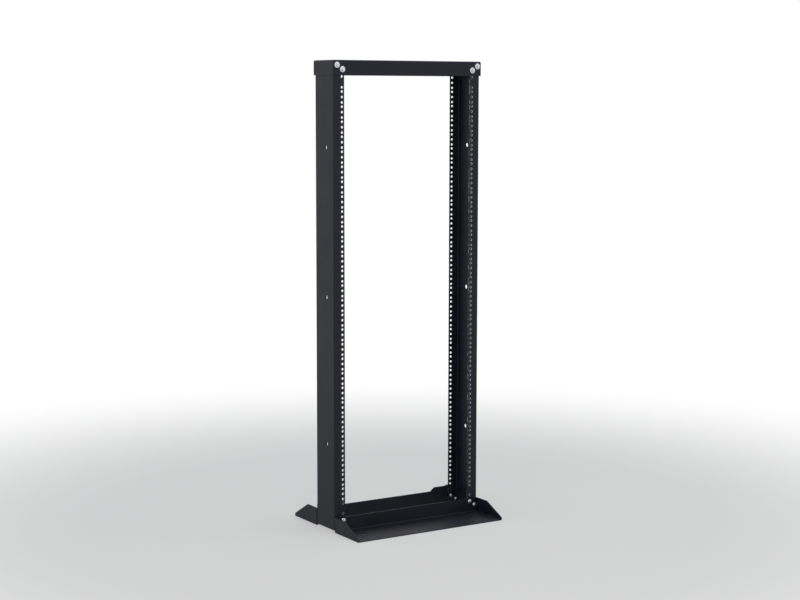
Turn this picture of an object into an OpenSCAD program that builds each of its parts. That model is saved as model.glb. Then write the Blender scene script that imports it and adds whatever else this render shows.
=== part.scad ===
// Two-post open frame rack, 30 units, bolted together from folded steel sheet.
// Two C-shaped posts stand between a front and a rear foot and carry a pan-shaped header.
// Frame: X across the rack, -Y the front, +Z up, origin on the floor below the centre.

/* [Rack field] */
// Number of rack units between the feet and the header
rack_units = 30; // [8:1:42]
// Height of one rack unit
unit_h = 44.45; // [44.45]
// Distance from a unit's lower edge to its first mounting hole
hole_first = 6.35; // [6.35]
// Distance between the mounting holes of one unit
hole_step = 15.875; // [15.875]
// Clear opening between the posts' flanges
rail_opening = 450; // [430:1:480]
// Distance from a flange's edge to its column of mounting holes
hole_inset = 7.55; // [7.5:0.05:9]
// Height of the lowest unit's lower edge above the floor
field_z = 50.8; // [46:0.1:60]
// Diameter of a mounting hole
hole_d = 7.1; // [5.5:0.1:7.4]

/* [Posts] */
// Width of a post's flanges
flange_w = 36.5; // [34:0.5:45]
// Depth of a post, front flange to rear flange
post_depth = 112; // [90:1:150]
// Sheet thickness of the posts
post_t = 2.7; // [2:0.1:3]
// Outer radius of the posts' bends
post_bend = 5; // [4:0.5:8]
// Gap between a post's lower end and the floor
post_lift = 6; // [0:1:10]
// Length of a post above the top unit
post_top = 40; // [39.5:0.5:48]
// Diameter of the cable tie holes in a post's web
web_hole_d = 13; // [8:1:20]
// Vertical distance between the web holes
web_hole_pitch = 450; // [80:10:450]
// Distance of the web holes from the middle of the web
web_hole_shift = 8; // [0:1:20]

/* [Header] */
// Height of the header's aprons
header_h = 44.5; // [40:0.5:45]
// Sheet thickness of the header
header_t = 2.5; // [1.5:0.1:3]
// Outer radius of the header's bends
header_bend = 4.5; // [4:0.5:6]
// Width of the open seam at the header's corners
seam_w = 0.8; // [0.4:0.1:1.5]

/* [Feet] */
// Depth of the base, front toe to rear toe
base_depth = 392; // [330:1:500]
// Sheet thickness of the feet and their gussets
foot_t = 3; // [2:0.1:4]
// Inner radius of the bend between a foot and its apron
foot_bend = 3; // [1:0.5:5]
// Height of the front foot's apron
front_apron_h = 46; // [44:1:49]
// Height of the rear foot's apron between its ears
rear_apron_h = 54; // [44:1:58]
// Rise of the rear foot's ears above its apron
ear_rise = 12; // [4:1:20]
// Width of an ear along its upper edge
ear_w = 86; // [50:1:120]
// Run of the slope beside an ear
ear_slope = 14; // [4:1:30]
// Length of a gusset's level upper edge in front of its apron
gusset_flat = 56; // [20:1:80]
// Height of a gusset at the toe
gusset_toe = 9; // [4:1:20]

/* [Holes for bolts] */
// Diameter of the holes for the frame bolts
bolt_hole_d = 6.6; // [5.5:0.1:9]
// Distance of the inner frame bolt from the unit field
inner_bolt_off = 15.2; // [12:0.1:18]
// Distance of the outer frame bolt from the unit field
outer_bolt_off = 27.7; // [24:0.1:30]
// Distance of the outer frame bolt from the outer face of the post
outer_bolt_edge = 10.5; // [9:0.1:13]
// Diameter of a floor anchor hole
anchor_d = 13; // [9:0.5:18]
// Distance between anchor holes across the rack
anchor_span_x = 400; // [300:1:440]
// Distance between anchor holes, front to rear
anchor_span_y = 244; // [200:1:280]

/* [Fits] */
// Clearance between sheets that are bolted face to face
fit_gap = 0.2; // [0:0.05:0.3]

/* [Hidden] */
$fn = 48;

steel_black = [0.10, 0.10, 0.12];
steel_black_foot = [0.13, 0.13, 0.14];
over = 1; // how far a cutter runs past the sheet

half_w = rail_opening / 2 + flange_w;
half_d = post_depth / 2;
field_top = field_z + rack_units * unit_h;
post_z1 = field_top + post_top;
header_z1 = post_z1 + header_t;
header_z0 = header_z1 - header_h;
header_x = half_w + fit_gap + header_t;
header_y = half_d + fit_gap + header_t;

// Frame bolts of one post: [x, z] pairs, x measured from the rack's centre
hole_x = rail_opening / 2 + hole_inset;
bolt_outer_x = half_w - outer_bolt_edge;
lower_bolts = [[hole_x, field_z - inner_bolt_off], [bolt_outer_x, field_z - outer_bolt_off]];
upper_bolts = [[hole_x, field_top + inner_bolt_off], [bolt_outer_x, field_top + outer_bolt_off]];

// Foot section, measured along Y from the rack's centre
apron_in = half_d + fit_gap;
apron_out = apron_in + foot_t;
toe_y = base_depth / 2;
foot_half_w = half_w - foot_t;

// A bar along Y for cutting holes at one flange or apron; side is -1 for the front, 1 for the rear
module y_hole(x, z, d, side, near, far)
    translate([x, side > 0 ? near - over : -near + over, z])
        rotate([side > 0 ? -90 : 90, 0, 0])
            cylinder(d = d, h = far - near + 2 * over);

// Rectangle with round corners, built from true arcs
module round_rect(x0, y0, x1, y1, r) {
    translate([x0 + r, y0])
        square([x1 - x0 - 2 * r, y1 - y0]);
    translate([x0, y0 + r])
        square([x1 - x0, y1 - y0 - 2 * r]);
    for (x = [x0 + r, x1 - r], y = [y0 + r, y1 - r])
        translate([x, y])
            circle(r = r);
}

// Section of the right post: web outside, both flanges turned towards the opening
module post_section()
    intersection() {
        difference() {
            round_rect(-half_w, -half_d, half_w, half_d, post_bend);
            round_rect(-half_w + post_t, -half_d + post_t, half_w - post_t, half_d - post_t, post_bend - post_t);
        }
        translate([half_w - flange_w, -half_d - over])
            square([flange_w + over, post_depth + 2 * over]);
    }

// The first and the last unit have no middle hole in the front flange
function has_hole(side, u, i) = side > 0 || i != 1 || (u > 0 && u < rack_units - 1);

module post(web_hole_y) {
    web_middle = (field_z + field_top) / 2;
    color(steel_black)
        difference() {
            translate([0, 0, post_lift])
                linear_extrude(post_z1 - post_lift)
                    post_section();
            for (side = [-1, 1], u = [0 : rack_units - 1], i = [0 : 2])
                if (has_hole(side, u, i))
                    y_hole(hole_x, field_z + u * unit_h + hole_first + i * hole_step, hole_d, side,
                           half_d - post_t, half_d);
            for (side = [-1, 1], p = concat(lower_bolts, upper_bolts))
                y_hole(p[0], p[1], bolt_hole_d, side, half_d - post_t, half_d);
            for (k = [-1 : 1])
                translate([half_w - post_t - over, web_hole_y, web_middle + k * web_hole_pitch])
                    rotate([0, 90, 0])
                        cylinder(d = web_hole_d, h = post_t + 2 * over);
        }
}

module left_post()
    mirror([1, 0, 0])
        post(-web_hole_shift);

module right_post()
    post(web_hole_shift);

// A lid with four round upper edges, open below when it is cut out of a larger one
module lid(x, y, z0, z1, r) {
    intersection() {
        translate([0, y, 0])
            rotate([90, 0, 0])
                linear_extrude(2 * y)
                    round_top(x, z0, z1, r);
        translate([-x, 0, 0])
            rotate([90, 0, 90])
                linear_extrude(2 * x)
                    round_top(y, z0, z1, r);
    }
}

module round_top(half, z0, z1, r) {
    translate([-half, z0])
        square([2 * half, z1 - r - z0]);
    translate([-half + r, z0])
        square([2 * (half - r), z1 - z0]);
    for (x = [-half + r, half - r])
        translate([x, z1 - r])
            circle(r = r);
}

module header_pan()
    color(steel_black)
        difference() {
            lid(header_x, header_y, header_z0, header_z1, header_bend);
            lid(header_x - header_t, header_y - header_t, header_z0 - over, post_z1, header_bend - header_t);
            for (sx = [-1, 1], side = [-1, 1]) {
                for (p = upper_bolts)
                    y_hole(sx * p[0], p[1], bolt_hole_d, side, header_y - header_t, header_y);
                // open corner seam between an apron and an end flap
                translate([sx > 0 ? header_x - header_t - over / 2 : -header_x - over,
                           side > 0 ? header_y - header_t - seam_w : -header_y + header_t,
                           header_z0 - over])
                    cube([header_t + 1.5 * over, seam_w, header_h - header_bend + over]);
            }
        }

// Section of the rear foot in (y, z): apron up, sole out to the toe, round bend between them
module foot_section(height) {
    bend_out = foot_bend + foot_t;
    translate([apron_in, bend_out])
        square([foot_t, height - bend_out]);
    translate([apron_in + bend_out, 0])
        square([toe_y - apron_in - bend_out, foot_t]);
    intersection() {
        translate([apron_in + bend_out, bend_out])
            difference() {
                circle(r = bend_out);
                circle(r = foot_bend);
            }
        translate([apron_in, 0])
            square(bend_out);
    }
}

// The rear foot; rise is the height of its ears above the apron
module foot(apron_h, rise) {
    ear_in = foot_half_w - ear_w;
    color(steel_black_foot)
        difference() {
            translate([-foot_half_w, 0, 0])
                rotate([90, 0, 90])
                    linear_extrude(2 * foot_half_w)
                        foot_section(apron_h + rise);
            if (rise > 0)
                translate([0, apron_out + over, apron_h])
                    rotate([90, 0, 0])
                        linear_extrude(foot_t + 2 * over)
                            polygon([[-ear_in + ear_slope, 0], [ear_in - ear_slope, 0], [ear_in, rise],
                                     [ear_in, rise + over], [-ear_in, rise + over], [-ear_in, rise]]);
            for (sx = [-1, 1]) {
                for (p = lower_bolts)
                    y_hole(sx * p[0], p[1], bolt_hole_d, 1, apron_in, apron_out);
                translate([sx * anchor_span_x / 2, anchor_span_y / 2, -over])
                    cylinder(d = anchor_d, h = foot_t + 2 * over);
            }
        }
}

module rear_foot()
    foot(rear_apron_h, ear_rise);

module front_foot()
    mirror([0, 1, 0])
        foot(front_apron_h, 0);

// The rear right gusset, a plate welded on the end of a foot
module gusset(height)
    color(steel_black_foot)
        translate([half_w - foot_t, 0, 0])
            rotate([90, 0, 90])
                linear_extrude(foot_t)
                    polygon([[apron_in, 0], [toe_y, 0], [toe_y, gusset_toe],
                             [apron_out + gusset_flat, height], [apron_in, height]]);

module rear_right_gusset()
    gusset(rear_apron_h);

module rear_left_gusset()
    mirror([1, 0, 0])
        gusset(rear_apron_h);

module front_right_gusset()
    mirror([0, 1, 0])
        gusset(front_apron_h);

module front_left_gusset()
    mirror([1, 0, 0])
        mirror([0, 1, 0])
            gusset(front_apron_h);

left_post();
right_post();
header_pan();
front_foot();
rear_foot();
front_left_gusset();
front_right_gusset();
rear_left_gusset();
rear_right_gusset();
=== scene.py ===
import math

import bmesh
import bpy
from mathutils import Matrix, Quaternion, Vector


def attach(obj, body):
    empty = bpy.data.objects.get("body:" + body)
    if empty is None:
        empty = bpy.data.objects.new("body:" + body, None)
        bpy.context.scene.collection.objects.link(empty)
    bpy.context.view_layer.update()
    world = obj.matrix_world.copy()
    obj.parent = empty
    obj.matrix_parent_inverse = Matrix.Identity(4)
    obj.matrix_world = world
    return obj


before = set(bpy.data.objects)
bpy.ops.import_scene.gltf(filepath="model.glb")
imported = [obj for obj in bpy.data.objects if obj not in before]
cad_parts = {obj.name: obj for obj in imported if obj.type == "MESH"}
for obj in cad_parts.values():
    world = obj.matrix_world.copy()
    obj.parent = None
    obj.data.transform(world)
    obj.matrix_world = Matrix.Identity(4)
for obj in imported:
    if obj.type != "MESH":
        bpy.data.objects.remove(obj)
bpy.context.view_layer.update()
print("frame loaded:", len(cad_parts), "steel parts")

mm = 0.001

# sizes of the frame that the dressing has to meet, in mm
rackSizes = {
    "holeFirst": 6.35,         # first hole above a unit's lower edge
    "postSheet": 2.7,
    "flangeEdge": 225.0,      # inner edge of a flange
    "holeColumn": 232.55,
    "holeSize": 7.1,
    "unitHeight": 44.45,
    "units": 30,
    "fieldBottom": 50.8,
    "fieldTop": 1384.3,
    "headerFace": 58.7,
    "headerSheet": 2.5,
    "apronFace": 59.2,
    "footSheet": 3.0,
    "gussetFace": 258.5,
}


def linearColour(hexText):
    channels = [int(hexText[i:i + 2], 16) / 255 for i in (1, 3, 5)]
    linear = [c / 12.92 if c <= 0.04045 else ((c + 0.055) / 1.055) ** 2.4 for c in channels]
    return (*linear, 1.0)


def addNode(tree, kind, settings=None, inputs=None):
    node = tree.nodes.new(kind)
    for name, value in (settings or {}).items():
        setattr(node, name, value)
    for name, value in (inputs or {}).items():
        if isinstance(value, bpy.types.NodeSocket):
            tree.links.new(value, node.inputs[name])
        else:
            node.inputs[name].default_value = value
    return node


def newMaterial(name):
    material = bpy.data.materials.new(name)
    material.use_nodes = True
    material.node_tree.nodes.clear()
    return material


def finishMaterial(material, shader):
    tree = material.node_tree
    addNode(tree, "ShaderNodeOutputMaterial", inputs={"Surface": shader.outputs["BSDF"]})
    return material


# polyester powder coat on folded steel, baked to a satin black with a fine orange peel
coatLook = {
    "black": "#151721",
    "haze": "#1e202b",        # handling marks and dust, a shade lighter
    # light bare steel, also used as a painted highlight on the hole rims and the flanges' inner edges
    "bareSteelAndHighlight": "#a9adb0",
    "peel": 1.6,              # grain of the orange peel in mm; the real one is 0.6, too fine to show
    "hazeSize": 90.0,         # mm
    "roughness": 0.5,
    "peelDepth": 0.25,        # mm
    "bareRoughness": 0.34,
    "sheen": 0.24,            # satin: half of what a gloss coat throws back
}


def powderCoatedSteel(name, bareHolesAndHighlight=False, bareEdgeAndHighlight=None, paintedShade=1.0):
    material = newMaterial(name)
    tree = material.node_tree
    spot = addNode(tree, "ShaderNodeTexCoord").outputs["Object"]
    peel = addNode(tree, "ShaderNodeTexNoise", {"noise_dimensions": "3D"},
                   {"Vector": spot, "Scale": 1 / (coatLook["peel"] * mm * 2),
                    "Detail": 2.0, "Roughness": 0.5})
    haze = addNode(tree, "ShaderNodeTexNoise", {},
                   {"Vector": spot, "Scale": 1 / (coatLook["hazeSize"] * mm),
                    "Detail": 5.0, "Roughness": 0.62})
    hazeMask = addNode(tree, "ShaderNodeMapRange", {},
                       {"Value": haze.outputs["Fac"], "From Min": 0.42, "From Max": 0.72})
    # the coat's colour is scaled down here as painted shade
    black = [c * paintedShade for c in linearColour(coatLook["black"])[:3]] + [1.0]
    light = [c * paintedShade for c in linearColour(coatLook["haze"])[:3]] + [1.0]
    coat = addNode(tree, "ShaderNodeMix", {"data_type": "RGBA"},
                   {0: hazeMask.outputs["Result"], 6: black, 7: light})
    colour = coat.outputs[2]
    rough = addNode(tree, "ShaderNodeMapRange", {},
                    {"Value": haze.outputs["Fac"], "From Min": 0.3, "From Max": 0.7,
                     "To Min": coatLook["roughness"] - 0.05, "To Max": coatLook["roughness"] + 0.07})
    roughness = rough.outputs["Result"]
    metal = None
    # bare steel in the holes, plus a painted highlight: light metal rims round the holes and a light strip
    # along the flange edge
    bareAndHighlight = bareAndHighlightMask(tree, spot, bareHolesAndHighlight, bareEdgeAndHighlight)
    if bareAndHighlight is not None:
        steel = addNode(tree, "ShaderNodeMix", {"data_type": "RGBA"},
                        {0: bareAndHighlight, 6: colour, 7: linearColour(coatLook["bareSteelAndHighlight"])})
        colour = steel.outputs[2]
        metal = bareAndHighlight
        roughness = addNode(tree, "ShaderNodeMix", {"data_type": "FLOAT"},
                            {0: bareAndHighlight, 2: roughness, 3: coatLook["bareRoughness"]}).outputs[0]
    bump = addNode(tree, "ShaderNodeBump", {},
                   {"Height": peel.outputs["Fac"], "Strength": 0.16,
                    "Distance": coatLook["peelDepth"] * mm})
    inputs = {"Base Color": colour, "Roughness": roughness, "Normal": bump.outputs["Normal"],
              "IOR": 1.5, "Specular IOR Level": coatLook["sheen"]}
    if metal is not None:
        inputs["Metallic"] = metal
    return finishMaterial(material, addNode(tree, "ShaderNodeBsdfPrincipled", {}, inputs))


# bare punched metal in the mounting holes and where the coat is thin along the sheared edges, mm; the light
# metal rims round the holes and the light strip along the flange edges are also a painted highlight
bareAndHighlightLook = {"inset": 0.15, "rim": 0.9, "edgeCore": 0.2, "edge": 1.0, "patch": 60.0, "edgeStrength": 0.55}


def bareAndHighlightMask(tree, spot, holes, edge):
    if not holes and edge is None:
        return None
    maths = "ShaderNodeMath"
    column, bottom = rackSizes["holeColumn"] * mm, rackSizes["fieldBottom"] * mm
    unit, hole = rackSizes["unitHeight"] * mm, rackSizes["holeSize"] * mm
    first = rackSizes["holeFirst"] * mm
    split = addNode(tree, "ShaderNodeSeparateXYZ", {}, {"Vector": spot}).outputs
    sideways = addNode(tree, maths, {"operation": "ABSOLUTE"}, {0: split["X"]}).outputs[0]
    mask = None
    if holes:
        across = addNode(tree, maths, {"operation": "SUBTRACT"}, {0: sideways, 1: column}).outputs[0]
        height = addNode(tree, maths, {"operation": "SUBTRACT"}, {0: split["Z"], 1: bottom}).outputs[0]
        # every unit folds onto its lower half, which has its first hole and its middle hole
        folded = addNode(tree, maths, {"operation": "PINGPONG"}, {0: height, 1: unit / 2}).outputs[0]
        fromFirst = addNode(tree, maths, {"operation": "SUBTRACT"}, {0: folded, 1: first}).outputs[0]
        fromMiddle = addNode(tree, maths, {"operation": "SUBTRACT"}, {0: unit / 2, 1: folded}).outputs[0]
        low = addNode(tree, maths, {"operation": "ABSOLUTE"}, {0: fromFirst}).outputs[0]
        along = addNode(tree, maths, {"operation": "MINIMUM"}, {0: low, 1: fromMiddle}).outputs[0]
        flat = addNode(tree, "ShaderNodeCombineXYZ", {}, {"X": across, "Y": along}).outputs[0]
        radius = addNode(tree, "ShaderNodeVectorMath", {"operation": "LENGTH"}, {0: flat}).outputs["Value"]
        # light metal ring round each hole: the bare hole wall, plus a painted highlight on the face around
        # it
        rim = addNode(tree, "ShaderNodeMapRange", {"interpolation_type": "SMOOTHSTEP"},
                      {"Value": radius, "From Min": hole / 2 + bareAndHighlightLook["inset"] * mm,
                       "From Max": hole / 2 + bareAndHighlightLook["rim"] * mm, "To Min": 1.0, "To Max": 0.0})
        # the front flange has no middle hole in its first and last unit
        fieldHalf = rackSizes["units"] * unit / 2
        fromCentre = addNode(tree, maths, {"operation": "SUBTRACT"}, {0: height, 1: fieldHalf}).outputs[0]
        reach = addNode(tree, maths, {"operation": "ABSOLUTE"}, {0: fromCentre}).outputs[0]
        inField = addNode(tree, maths, {"operation": "LESS_THAN"}, {0: reach, 1: fieldHalf}).outputs[0]
        endUnit = addNode(tree, maths, {"operation": "GREATER_THAN"},
                          {0: reach, 1: fieldHalf - unit}).outputs[0]
        front = addNode(tree, maths, {"operation": "LESS_THAN"}, {0: split["Y"], 1: 0.0}).outputs[0]
        middle = addNode(tree, maths, {"operation": "LESS_THAN"}, {0: fromMiddle, 1: hole}).outputs[0]
        endFront = addNode(tree, maths, {"operation": "MULTIPLY"}, {0: endUnit, 1: front}).outputs[0]
        missing = addNode(tree, maths, {"operation": "MULTIPLY"}, {0: endFront, 1: middle}).outputs[0]
        punched = addNode(tree, maths, {"operation": "SUBTRACT", "use_clamp": True},
                          {0: inField, 1: missing}).outputs[0]
        mask = addNode(tree, maths, {"operation": "MULTIPLY"},
                       {0: rim.outputs["Result"], 1: punched}).outputs[0]
    if edge is not None:
        # patchy light metal strip along the flange's inner edge: partly worn coat, partly a painted
        # highlight
        wearAndHighlightPatches = addNode(tree, "ShaderNodeTexNoise", {},
                       {"Vector": spot, "Scale": bareAndHighlightLook["patch"], "Detail": 4.0})
        fromEdge = addNode(tree, maths, {"operation": "SUBTRACT"}, {0: sideways, 1: edge * mm}).outputs[0]
        distance = addNode(tree, maths, {"operation": "ABSOLUTE"}, {0: fromEdge}).outputs[0]
        near = addNode(tree, "ShaderNodeMapRange", {},
                       {"Value": distance, "From Min": bareAndHighlightLook["edgeCore"] * mm,
                        "From Max": bareAndHighlightLook["edge"] * mm, "To Min": 1.0, "To Max": 0.0})
        patchy = addNode(tree, "ShaderNodeMapRange", {},
                         {"Value": wearAndHighlightPatches.outputs["Fac"], "From Min": 0.48, "From Max": 0.62,
                          "To Max": bareAndHighlightLook["edgeStrength"]})
        edgeWearAndHighlight = addNode(tree, maths, {"operation": "MULTIPLY"},
                           {0: near.outputs["Result"], 1: patchy.outputs["Result"]}).outputs[0]
        mask = edgeWearAndHighlight if mask is None else addNode(tree, maths, {"operation": "MAXIMUM"},
                                                     {0: mask, 1: edgeWearAndHighlight}).outputs[0]
    return mask


# bright zinc plate on cold-formed bolts: a clean blue-white metal, a little cloudy
def zincPlatedSteel(name):
    material = newMaterial(name)
    tree = material.node_tree
    spot = addNode(tree, "ShaderNodeTexCoord").outputs["Object"]
    cloud = addNode(tree, "ShaderNodeTexNoise", {}, {"Vector": spot, "Scale": 220.0, "Detail": 4.0})
    colour = addNode(tree, "ShaderNodeMix", {"data_type": "RGBA"},
                     {0: cloud.outputs["Fac"], 6: linearColour("#b9bec4"), 7: linearColour("#dfe1e2")})
    rough = addNode(tree, "ShaderNodeMapRange", {},
                    {"Value": cloud.outputs["Fac"], "From Min": 0.3, "From Max": 0.7,
                     "To Min": 0.24, "To Max": 0.4})
    grain = addNode(tree, "ShaderNodeTexNoise", {}, {"Vector": spot, "Scale": 1600.0, "Detail": 2.0})
    bump = addNode(tree, "ShaderNodeBump", {},
                   {"Height": grain.outputs["Fac"], "Strength": 0.15, "Distance": 0.05 * mm})
    metal = addNode(tree, "ShaderNodeBsdfPrincipled", {},
                    {"Base Color": colour.outputs[2], "Metallic": 1.0,
                     "Roughness": rough.outputs["Result"], "Normal": bump.outputs["Normal"]})
    return finishMaterial(material, metal)


# the posts carry the bare steel and the painted highlight on the hole rims and flange edges
postCoat = powderCoatedSteel("powder-coated steel, posts", bareHolesAndHighlight=True, bareEdgeAndHighlight=rackSizes["flangeEdge"])
headerCoat = powderCoatedSteel("powder-coated steel, header")
# the feet are the same black coat with painted shade: their colour taken down to 0.9
footCoatWithPaintedShade = powderCoatedSteel("powder-coated steel, feet, painted shade", paintedShade=0.9)
zinc = zincPlatedSteel("zinc-plated steel")

for nodeName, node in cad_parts.items():
    coat = postCoat if "post" in nodeName else headerCoat if "header" in nodeName else footCoatWithPaintedShade
    if not node.data.materials:
        node.data.materials.append(coat)
    for i in range(len(node.material_slots)):
        node.material_slots[i].material = coat
print("coats baked on the steel parts")


# M6 flange bolts in mm
boltLook = {
    "acrossFlats": 10.0,
    "head": 4.6,
    "chamfer": 0.7,
    "flange": 14.2,
    "flangeHeight": 1.5,
    "flangeRim": 0.9,
    "thread": 6.0,
    "threadDepth": 0.61,      # share of the pitch
    "runOut": 0.6,
    "pitch": 1.0,
    "nut": 5.2,
    "stickOut": 3.2,
    "washer": 18.0,
    "washerHole": 6.4,
    "washerHeight": 1.6,
    "outerColumn": 251.0,
    "innerStep": 15.2,        # above and below the unit field
    "outerStep": 27.7,
    "clearance": 0.2,         # between bolted sheets
}


def meshFrom(bm, name):
    mesh = bpy.data.meshes.new(name)
    bm.to_mesh(mesh)
    bm.free()
    return mesh


# a ring or a solid of revolution about +Y, from (radius, distance along Y) points in mm
def turned(points, steps, closed=True):
    bm = bmesh.new()
    verts = [bm.verts.new((r * mm, y * mm, 0)) for r, y in points]
    pairs = list(zip(verts, verts[1:] + verts[:1])) if closed else list(zip(verts, verts[1:]))
    edges = [bm.edges.new(pair) for pair in pairs]
    bmesh.ops.spin(bm, geom=verts + edges, cent=(0, 0, 0), axis=(0, 1, 0), dvec=(0, 0, 0),
                   angle=math.tau, steps=steps, use_merge=True)
    bmesh.ops.remove_doubles(bm, verts=bm.verts, dist=1e-6)
    bmesh.ops.recalc_face_normals(bm, faces=bm.faces)
    return bm


# hexagon prism about Y from y0 to y1, chamfered at y1
def hexagon(acrossFlats, y0, y1, chamfer):
    bm = bmesh.new()
    radius = acrossFlats / math.sqrt(3) * mm
    bmesh.ops.create_cone(bm, cap_ends=True, segments=6, radius1=radius, radius2=radius,
                          depth=abs(y1 - y0) * mm)
    bmesh.ops.rotate(bm, verts=bm.verts, cent=(0, 0, 0),
                     matrix=Matrix.Rotation(math.radians(90), 3, "X"))
    bmesh.ops.translate(bm, verts=bm.verts, vec=(0, (y0 + y1) / 2 * mm, 0))
    outer = y1 * mm
    rim = [e for e in bm.edges if all(abs(v.co.y - outer) < 1e-6 for v in e.verts)]
    bmesh.ops.bevel(bm, geom=rim, offset=chamfer * mm, offset_type="OFFSET", affect="EDGES", segments=2,
                    profile=0.5, material=-1)
    bmesh.ops.recalc_face_normals(bm, faces=bm.faces)
    return bm


def stamp(target, source, matrix):
    first = len(target.verts)
    target.from_mesh(source)
    target.verts.ensure_lookup_table()
    bmesh.ops.transform(target, matrix=matrix, verts=target.verts[first:])


def join(parts, name):
    bm = bmesh.new()
    for part in parts:
        mesh = meshFrom(part, "part")
        bm.from_mesh(mesh)
        bpy.data.meshes.remove(mesh)
    return meshFrom(bm, name)


def addPiece(mesh, name, material, smooth=35):
    mesh.materials.clear()
    mesh.materials.append(material)
    for polygon in mesh.polygons:
        polygon.use_smooth = True
    mesh.set_sharp_from_angle(angle=math.radians(smooth))
    piece = bpy.data.objects.new(name, mesh)
    bpy.context.scene.collection.objects.link(piece)
    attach(piece, "root")
    return piece


# flanged head; Y points into the sheet and y = 0 is the face it bears on
def headMesh():
    b = boltLook
    radius, rimY, collarY = b["flange"] / 2, -b["flangeRim"], -b["flangeHeight"] - 0.5
    flange = turned([(0, 0), (radius - 0.3, 0), (radius, -0.3), (radius, rimY), (radius - 0.25, rimY - 0.2),
                     (b["acrossFlats"] / 2 + 0.4, collarY), (0, collarY)], 32, closed=False)
    head = hexagon(b["acrossFlats"], rimY, -b["flangeHeight"] - b["head"], b["chamfer"])
    return join([flange, head], "bolt head")


# thread with its run-out end, from y0 to y1 along +Y
def threadMesh(y0, y1):
    b = boltLook
    pitch, endY = b["pitch"], y1 - b["runOut"]
    major, minor = b["thread"] / 2, b["thread"] / 2 - b["threadDepth"] * pitch
    points = [(0, y0), (minor, y0)]
    y = y0
    while y + pitch < endY:
        points += [(major, y + 0.45 * pitch), (major, y + 0.55 * pitch), (minor, y + pitch)]
        y += pitch
    points += [(minor, endY), (minor - 0.5, y1), (0, y1)]
    return meshFrom(turned(points, 24, closed=False), "thread end")


def nutMesh(y0, height):
    return meshFrom(hexagon(boltLook["acrossFlats"], y0, y0 + height, boltLook["chamfer"]), "nut")


def washerMesh():
    b = boltLook
    r0, r1, h = b["washerHole"] / 2, b["washer"] / 2, b["washerHeight"]
    section = [(r0, 0), (r1 - 0.2, 0), (r1, -0.2), (r1, -h + 0.2), (r1 - 0.25, -h), (r0, -h)]
    return meshFrom(turned(section, 40), "washer")


def placeMatrix(x, z, face, side):
    turn = Matrix.Identity(4) if side < 0 else Matrix.Rotation(math.pi, 4, "Z")
    return Matrix.Translation((x * mm, side * face * mm, z * mm)) @ turn


r = rackSizes
innerX, outerX = r["holeColumn"], boltLook["outerColumn"]
innerStep, outerStep = boltLook["innerStep"], boltLook["outerStep"]
lowerPlaces = [(innerX, r["fieldBottom"] - innerStep), (outerX, r["fieldBottom"] - outerStep)]
upperPlaces = [(innerX, r["fieldTop"] + innerStep), (outerX, r["fieldTop"] + outerStep)]

heads, washers, nuts = bmesh.new(), bmesh.new(), bmesh.new()
head, washer = headMesh(), washerMesh()
clamped = r["postSheet"] + boltLook["clearance"]
sheets = {"lower": r["footSheet"] + clamped, "upper": r["headerSheet"] + clamped}
turnIndex = 0
for side in (-1, 1):
    for level, places, face in (("lower", lowerPlaces, r["apronFace"]),
                                ("upper", upperPlaces, r["headerFace"])):
        thick = sheets[level]
        thread = threadMesh(thick, thick + boltLook["nut"] + boltLook["stickOut"])
        nut = nutMesh(thick, boltLook["nut"])
        for sx in (-1, 1):
            for x, z in places:
                at = placeMatrix(sx * x, z, face, side)
                turnIndex += 1
                spin = Matrix.Rotation(math.radians(17 * turnIndex % 60), 4, "Y")
                lift = 0.0
                if level == "upper":
                    stamp(washers, washer, at)
                    lift = boltLook["washerHeight"]
                stamp(heads, head, at @ Matrix.Translation((0, -lift * mm, 0)) @ spin)
                stamp(nuts, nut, at @ Matrix.Rotation(math.radians(23 * turnIndex % 60), 4, "Y"))
                stamp(heads, thread, at)
addPiece(meshFrom(heads, "frame_bolts"), "frame_bolts", zinc)
addPiece(meshFrom(washers, "header_washers"), "header_washers", zinc)
addPiece(meshFrom(nuts, "frame_nuts"), "frame_nuts", zinc)
print("16 frame bolts fastened")


# stitch welds between each gusset and the sole of its foot, painted over with the feet
weldLook = {"ripple": 2.2, "leg": 2.6, "sink": 0.4, "stitches": [(76, 104), (124, 152), (168, 190)]}


def weldStitches():
    ripple = bmesh.new()
    bmesh.ops.create_uvsphere(ripple, u_segments=10, v_segments=6, radius=weldLook["leg"] * mm)
    bmesh.ops.scale(ripple, verts=ripple.verts, vec=(1.0, 0.8, 1.0))
    mesh = meshFrom(ripple, "ripple")
    x = (rackSizes["gussetFace"] + weldLook["sink"]) * mm
    z = (rackSizes["footSheet"] - weldLook["sink"]) * mm
    welds = bmesh.new()
    for sx in (-1, 1):
        for sy in (-1, 1):
            for start, end in weldLook["stitches"]:
                for i in range(int((end - start) / weldLook["ripple"]) + 1):
                    y = start + i * weldLook["ripple"]
                    stamp(welds, mesh, Matrix.Translation((sx * x, sy * y * mm, z)))
    return meshFrom(welds, "foot_welds")


addPiece(weldStitches(), "foot_welds", footCoatWithPaintedShade)
print("gussets welded to the feet")


floorLook = {"radius": 14.0, "colour": "#f1f1ef", "shadowReach": 0.9, "whiteFrom": 2.6}


# the camera's own rays and those that reach it by a shine or through glass
def seenRays(tree):
    ray = addNode(tree, "ShaderNodeLightPath")
    mirrored = addNode(tree, "ShaderNodeMath", {"operation": "MAXIMUM"},
                       {0: ray.outputs["Is Glossy Ray"], 1: ray.outputs["Is Transmission Ray"]}).outputs[0]
    return addNode(tree, "ShaderNodeMath", {"operation": "MAXIMUM"},
                   {0: ray.outputs["Is Camera Ray"], 1: mirrored}).outputs[0]


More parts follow.
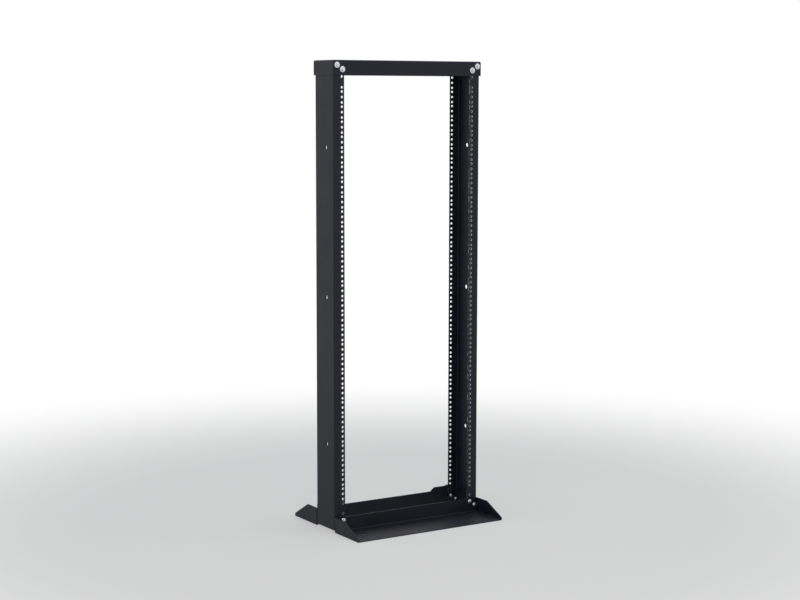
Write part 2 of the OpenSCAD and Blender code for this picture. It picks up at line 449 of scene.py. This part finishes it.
def makeFloor():
    bm = bmesh.new()
    bmesh.ops.create_circle(bm, cap_ends=True, segments=96, radius=floorLook["radius"])
    floor = bpy.data.objects.new("floor", meshFrom(bm, "floor"))
    bpy.context.scene.collection.objects.link(floor)
    material = newMaterial("matt paper floor")
    tree = material.node_tree
    spot = addNode(tree, "ShaderNodeTexCoord").outputs["Object"]
    reach = addNode(tree, "ShaderNodeVectorMath", {"operation": "LENGTH"}, {0: spot}).outputs["Value"]
    far = addNode(tree, "ShaderNodeMapRange", {"interpolation_type": "SMOOTHSTEP"},
                  {"Value": reach, "From Min": floorLook["shadowReach"], "From Max": floorLook["whiteFrom"],
                   "To Min": 0.35, "To Max": 1.0})
    seen = seenRays(tree)
    amount = addNode(tree, "ShaderNodeMath", {"operation": "MULTIPLY"},
                     {0: far.outputs["Result"], 1: seen}).outputs[0]
    paper = addNode(tree, "ShaderNodeBsdfDiffuse", {}, {"Color": linearColour(floorLook["colour"])})
    glow = addNode(tree, "ShaderNodeEmission", {}, {"Color": (1, 1, 1, 1), "Strength": 1.0})
    mix = addNode(tree, "ShaderNodeMixShader", {}, {0: amount, 1: paper.outputs[0], 2: glow.outputs[0]})
    addNode(tree, "ShaderNodeOutputMaterial", {}, {"Surface": mix.outputs[0]})
    floor.data.materials.append(material)


def makeWorld():
    world = bpy.data.worlds.new("studio")
    bpy.context.scene.world = world
    world.use_nodes = True
    tree = world.node_tree
    tree.nodes.clear()
    seen = seenRays(tree)
    fill = addNode(tree, "ShaderNodeBackground", {}, {"Color": (0.93, 0.95, 1.0, 1), "Strength": 0.42})
    white = addNode(tree, "ShaderNodeBackground", {}, {"Color": (1, 1, 1, 1), "Strength": 1.0})
    mix = addNode(tree, "ShaderNodeMixShader", {}, {0: seen, 1: fill.outputs[0], 2: white.outputs[0]})
    addNode(tree, "ShaderNodeOutputWorld", {}, {"Surface": mix.outputs[0]})


softboxes = {
    "key": {"place": (-1.6, -3.9, 2.6), "aim": (0, 0, 1.0),
            "size": (1.6, 2.2), "power": 22, "tint": "#fff9f2"},
    "left fill": {"place": (-3.4, 0.8, 1.4), "aim": (0, 0, 0.7),
                  "size": (1.4, 2.4), "power": 1.5, "tint": "#eef0ff"},
    "top": {"place": (0.4, -0.6, 3.4), "aim": (0, 0, 0.6),
            "size": (2.0, 2.0), "power": 12, "tint": "#ffffff"},
}


def hangLamps():
    for name, look in softboxes.items():
        light = bpy.data.lights.new(name, "AREA")
        light.shape = "RECTANGLE"
        light.size, light.size_y = look["size"]
        light.energy = look["power"]
        light.color = linearColour(look["tint"])[:3]
        lamp = bpy.data.objects.new(name, light)
        lamp.location = look["place"]
        beam = Vector(look["aim"]) - Vector(look["place"])
        lamp.rotation_euler = beam.to_track_quat("-Z", "Y").to_euler()
        bpy.context.scene.collection.objects.link(lamp)


# place in metres, angles in degrees, lens in mm
cameraLook = {"place": (-2.8033, -4.4900, 1.3276), "heading": 32.035, "down": 6.849, "roll": 0.083,
              "lens": 77.289}


def makeCamera():
    data = bpy.data.cameras.new("camera")
    data.sensor_width, data.lens = 36.0, cameraLook["lens"]
    data.clip_start, data.clip_end = 0.1, 60.0
    camera = bpy.data.objects.new("camera", data)
    turn, down = math.radians(cameraLook["heading"]), math.radians(cameraLook["down"])
    ahead = Vector((math.sin(turn) * math.cos(down), math.cos(turn) * math.cos(down), -math.sin(down)))
    camera.location = cameraLook["place"]
    roll = Quaternion((0, 0, 1), math.radians(cameraLook["roll"]))
    camera.rotation_euler = (ahead.to_track_quat("-Z", "Y") @ roll).to_euler()
    bpy.context.scene.collection.objects.link(camera)
    bpy.context.scene.camera = camera


makeFloor()
makeWorld()
makeCamera()
hangLamps()
scene = bpy.context.scene
scene.view_settings.view_transform = "Standard"
print("stage, lamps and camera ready")

bpy.context.view_layer.update()
